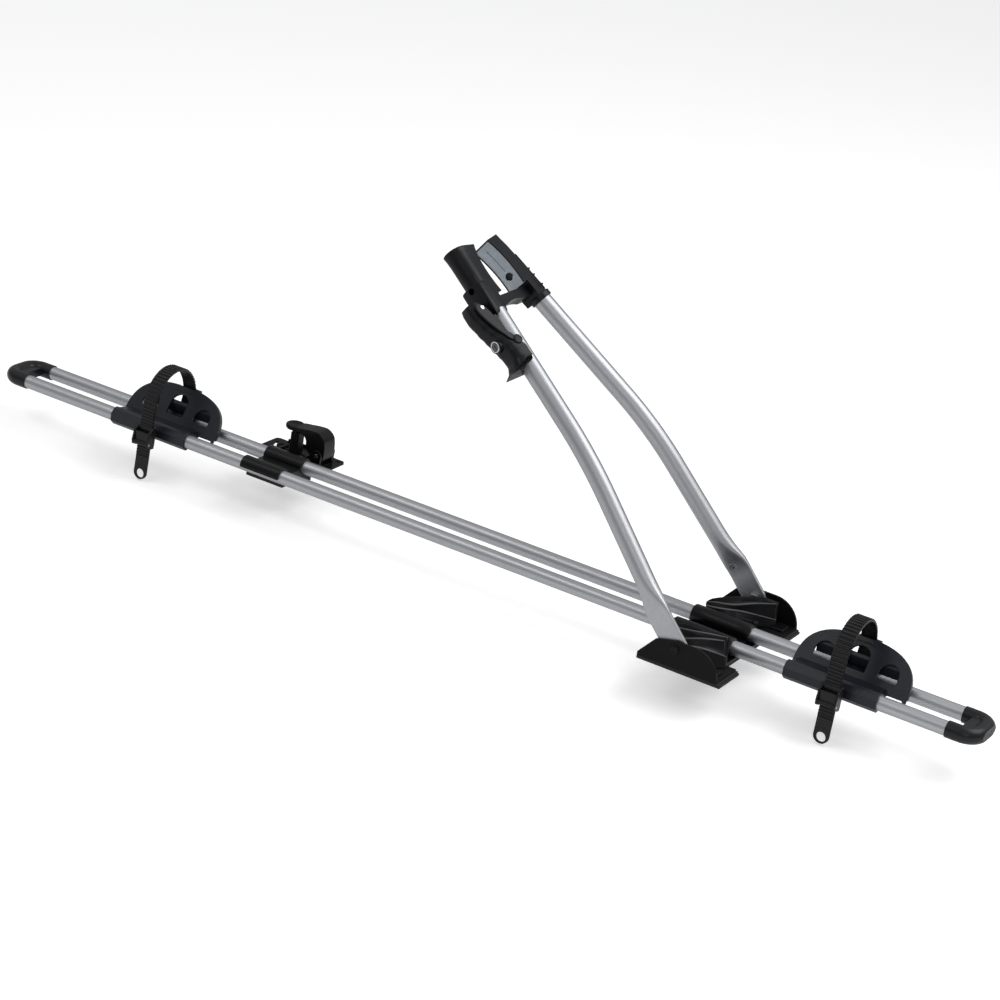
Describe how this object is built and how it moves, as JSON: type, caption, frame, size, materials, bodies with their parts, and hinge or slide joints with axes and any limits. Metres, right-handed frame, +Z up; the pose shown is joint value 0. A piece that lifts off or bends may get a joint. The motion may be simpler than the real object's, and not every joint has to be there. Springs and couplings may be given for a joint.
{
  "type": "roof mounted bike carrier",
  "caption": "Bicycle carrier for roof bars: two tray tubes, sliding wheel holders with toothed straps, and folding arms that end in a clamping head with a lock.",
  "frame": {"origin": "on the roof bar's top face, straight below the arms' fold axis and midway between the tray tubes", "axes": "+X runs along the tray to its near end, +Y to the rear tube, +Z up from the roof bar"},
  "size_m": [1.5116, 0.2354, 0.4641],
  "materials": {
    "tube_aluminium": "satin anodised",
    "cap_plastic": "moulded, fine grain",
    "holder_plastic": "moulded, dark slate grey",
    "bracket_steel": "black powder coat",
    "black_plastic": "moulded, black",
    "head_plastic": "moulded, black with a soft sheen",
    "bar_rubber": "black",
    "pad_rubber": "light grey, speckled",
    "strap_rubber": "black, toothed",
    "buckle_plastic": "black",
    "zinc_steel": "zinc plated",
    "black_steel": "blackened",
    "lock_chrome": "polished"
  },
  "bodies": {
    "tray": {"front_tray_tube": "tube_aluminium", "rear_tray_tube": "tube_aluminium", "near_end_cap": "cap_plastic", "far_end_cap": "cap_plastic", "foot_bracket": "bracket_steel", "foot_cradle": "black_plastic", "foot_bar_pad": "bar_rubber", "fold_bolts": "black_steel", "fold_nuts": "zinc_steel", "foot_bar_band": "bracket_steel", "foot_band_bolt": "zinc_steel", "far_tube_sleeve": "black_plastic", "far_bracket_plate": "bracket_steel", "far_bar_pad": "bar_rubber", "clamp_bracket": "black_plastic", "clamp_lever_pin": "zinc_steel"},
    "arm_pair": {"rear_arm": "tube_aluminium", "rear_jaw": "head_plastic", "rear_jaw_pad": "pad_rubber", "jaw_link": "head_plastic", "link_pin": "zinc_steel"},
    "front_arm_set": {"front_arm": "tube_aluminium", "front_jaw": "head_plastic", "front_jaw_pad": "pad_rubber", "lever_base": "head_plastic", "grip_lever_pin": "zinc_steel"},
    "grip": {"grip_lever": "head_plastic"},
    "lock": {"lock_cylinder": "lock_chrome"},
    "near_holder": {"near_wheel_holder": "holder_plastic", "near_strap": "strap_rubber", "near_strap_anchor": "zinc_steel", "near_buckle": "buckle_plastic", "near_buckle_pin": "zinc_steel"},
    "near_latch": {"near_buckle_lever": "buckle_plastic"},
    "far_holder": {"far_wheel_holder": "holder_plastic", "far_strap": "strap_rubber", "far_strap_anchor": "zinc_steel", "far_buckle": "buckle_plastic", "far_buckle_pin": "zinc_steel"},
    "far_latch": {"far_buckle_lever": "buckle_plastic"},
    "clamp": {"clamp_lever": "black_plastic"},
    "far_band": {"far_bar_band": "bracket_steel", "far_band_post": "black_steel"}
  },
  "joints": [
    {"name": "arms_fold", "type": "hinge", "parent": "tray", "child": "arm_pair", "pos_m": [0, 0.1083, 0.0285], "axis": [0, 1, 0], "range_deg": [-37, 40]},
    {"name": "jaw_spread", "type": "hinge", "parent": "arm_pair", "child": "front_arm_set", "pos_m": [0, -0.1083, 0.0285], "axis": [1, 0, 0], "range_deg": [0, 1.2]},
    {"name": "grip_lever_turn", "type": "hinge", "parent": "front_arm_set", "child": "grip", "pos_m": [-0.36064, -0.08367, 0.34877], "axis": [-0.5644, 0.2059, -0.7994], "range_deg": [0, 96]},
    {"name": "lock_turn", "type": "hinge", "parent": "grip", "child": "lock", "pos_m": [-0.32089, -0.08653, 0.31997], "axis": [-0.2323, -0.9689, -0.0855], "range_deg": [0, 90]},
    {"name": "near_holder_slide", "type": "slide", "parent": "tray", "child": "near_holder", "axis": [1, 0, 0], "range_m": [-0.04, 0.055]},
    {"name": "near_latch_turn", "type": "hinge", "parent": "near_holder", "child": "near_latch", "pos_m": [0.1867, -0.06298, 0.00764], "axis": [-1, 0, 0], "range_deg": [0, 18]},
    {"name": "far_holder_slide", "type": "slide", "parent": "tray", "child": "far_holder", "axis": [1, 0, 0], "range_m": [-0.13, 0.04]},
    {"name": "far_latch_turn", "type": "hinge", "parent": "far_holder", "child": "far_latch", "pos_m": [-0.8633, -0.06298, 0.00764], "axis": [-1, 0, 0], "range_deg": [0, 18]},
    {"name": "clamp_lever_turn", "type": "hinge", "parent": "tray", "child": "clamp", "pos_m": [-0.653, 0.071, 0.026], "axis": [0, 1, 0], "range_deg": [0, 85]},
    {"name": "band_drop", "type": "slide", "parent": "tray", "child": "far_band", "axis": [0, 0, -1], "range_m": [0, 0.003]}
  ],
  "couplings": [
    {"joint": "band_drop", "follows": "clamp_lever_turn", "m_per_rad": 0.0020202},
    {"joint": "jaw_spread", "follows": "grip_lever_turn", "ratio": 0.012487}
  ]
}
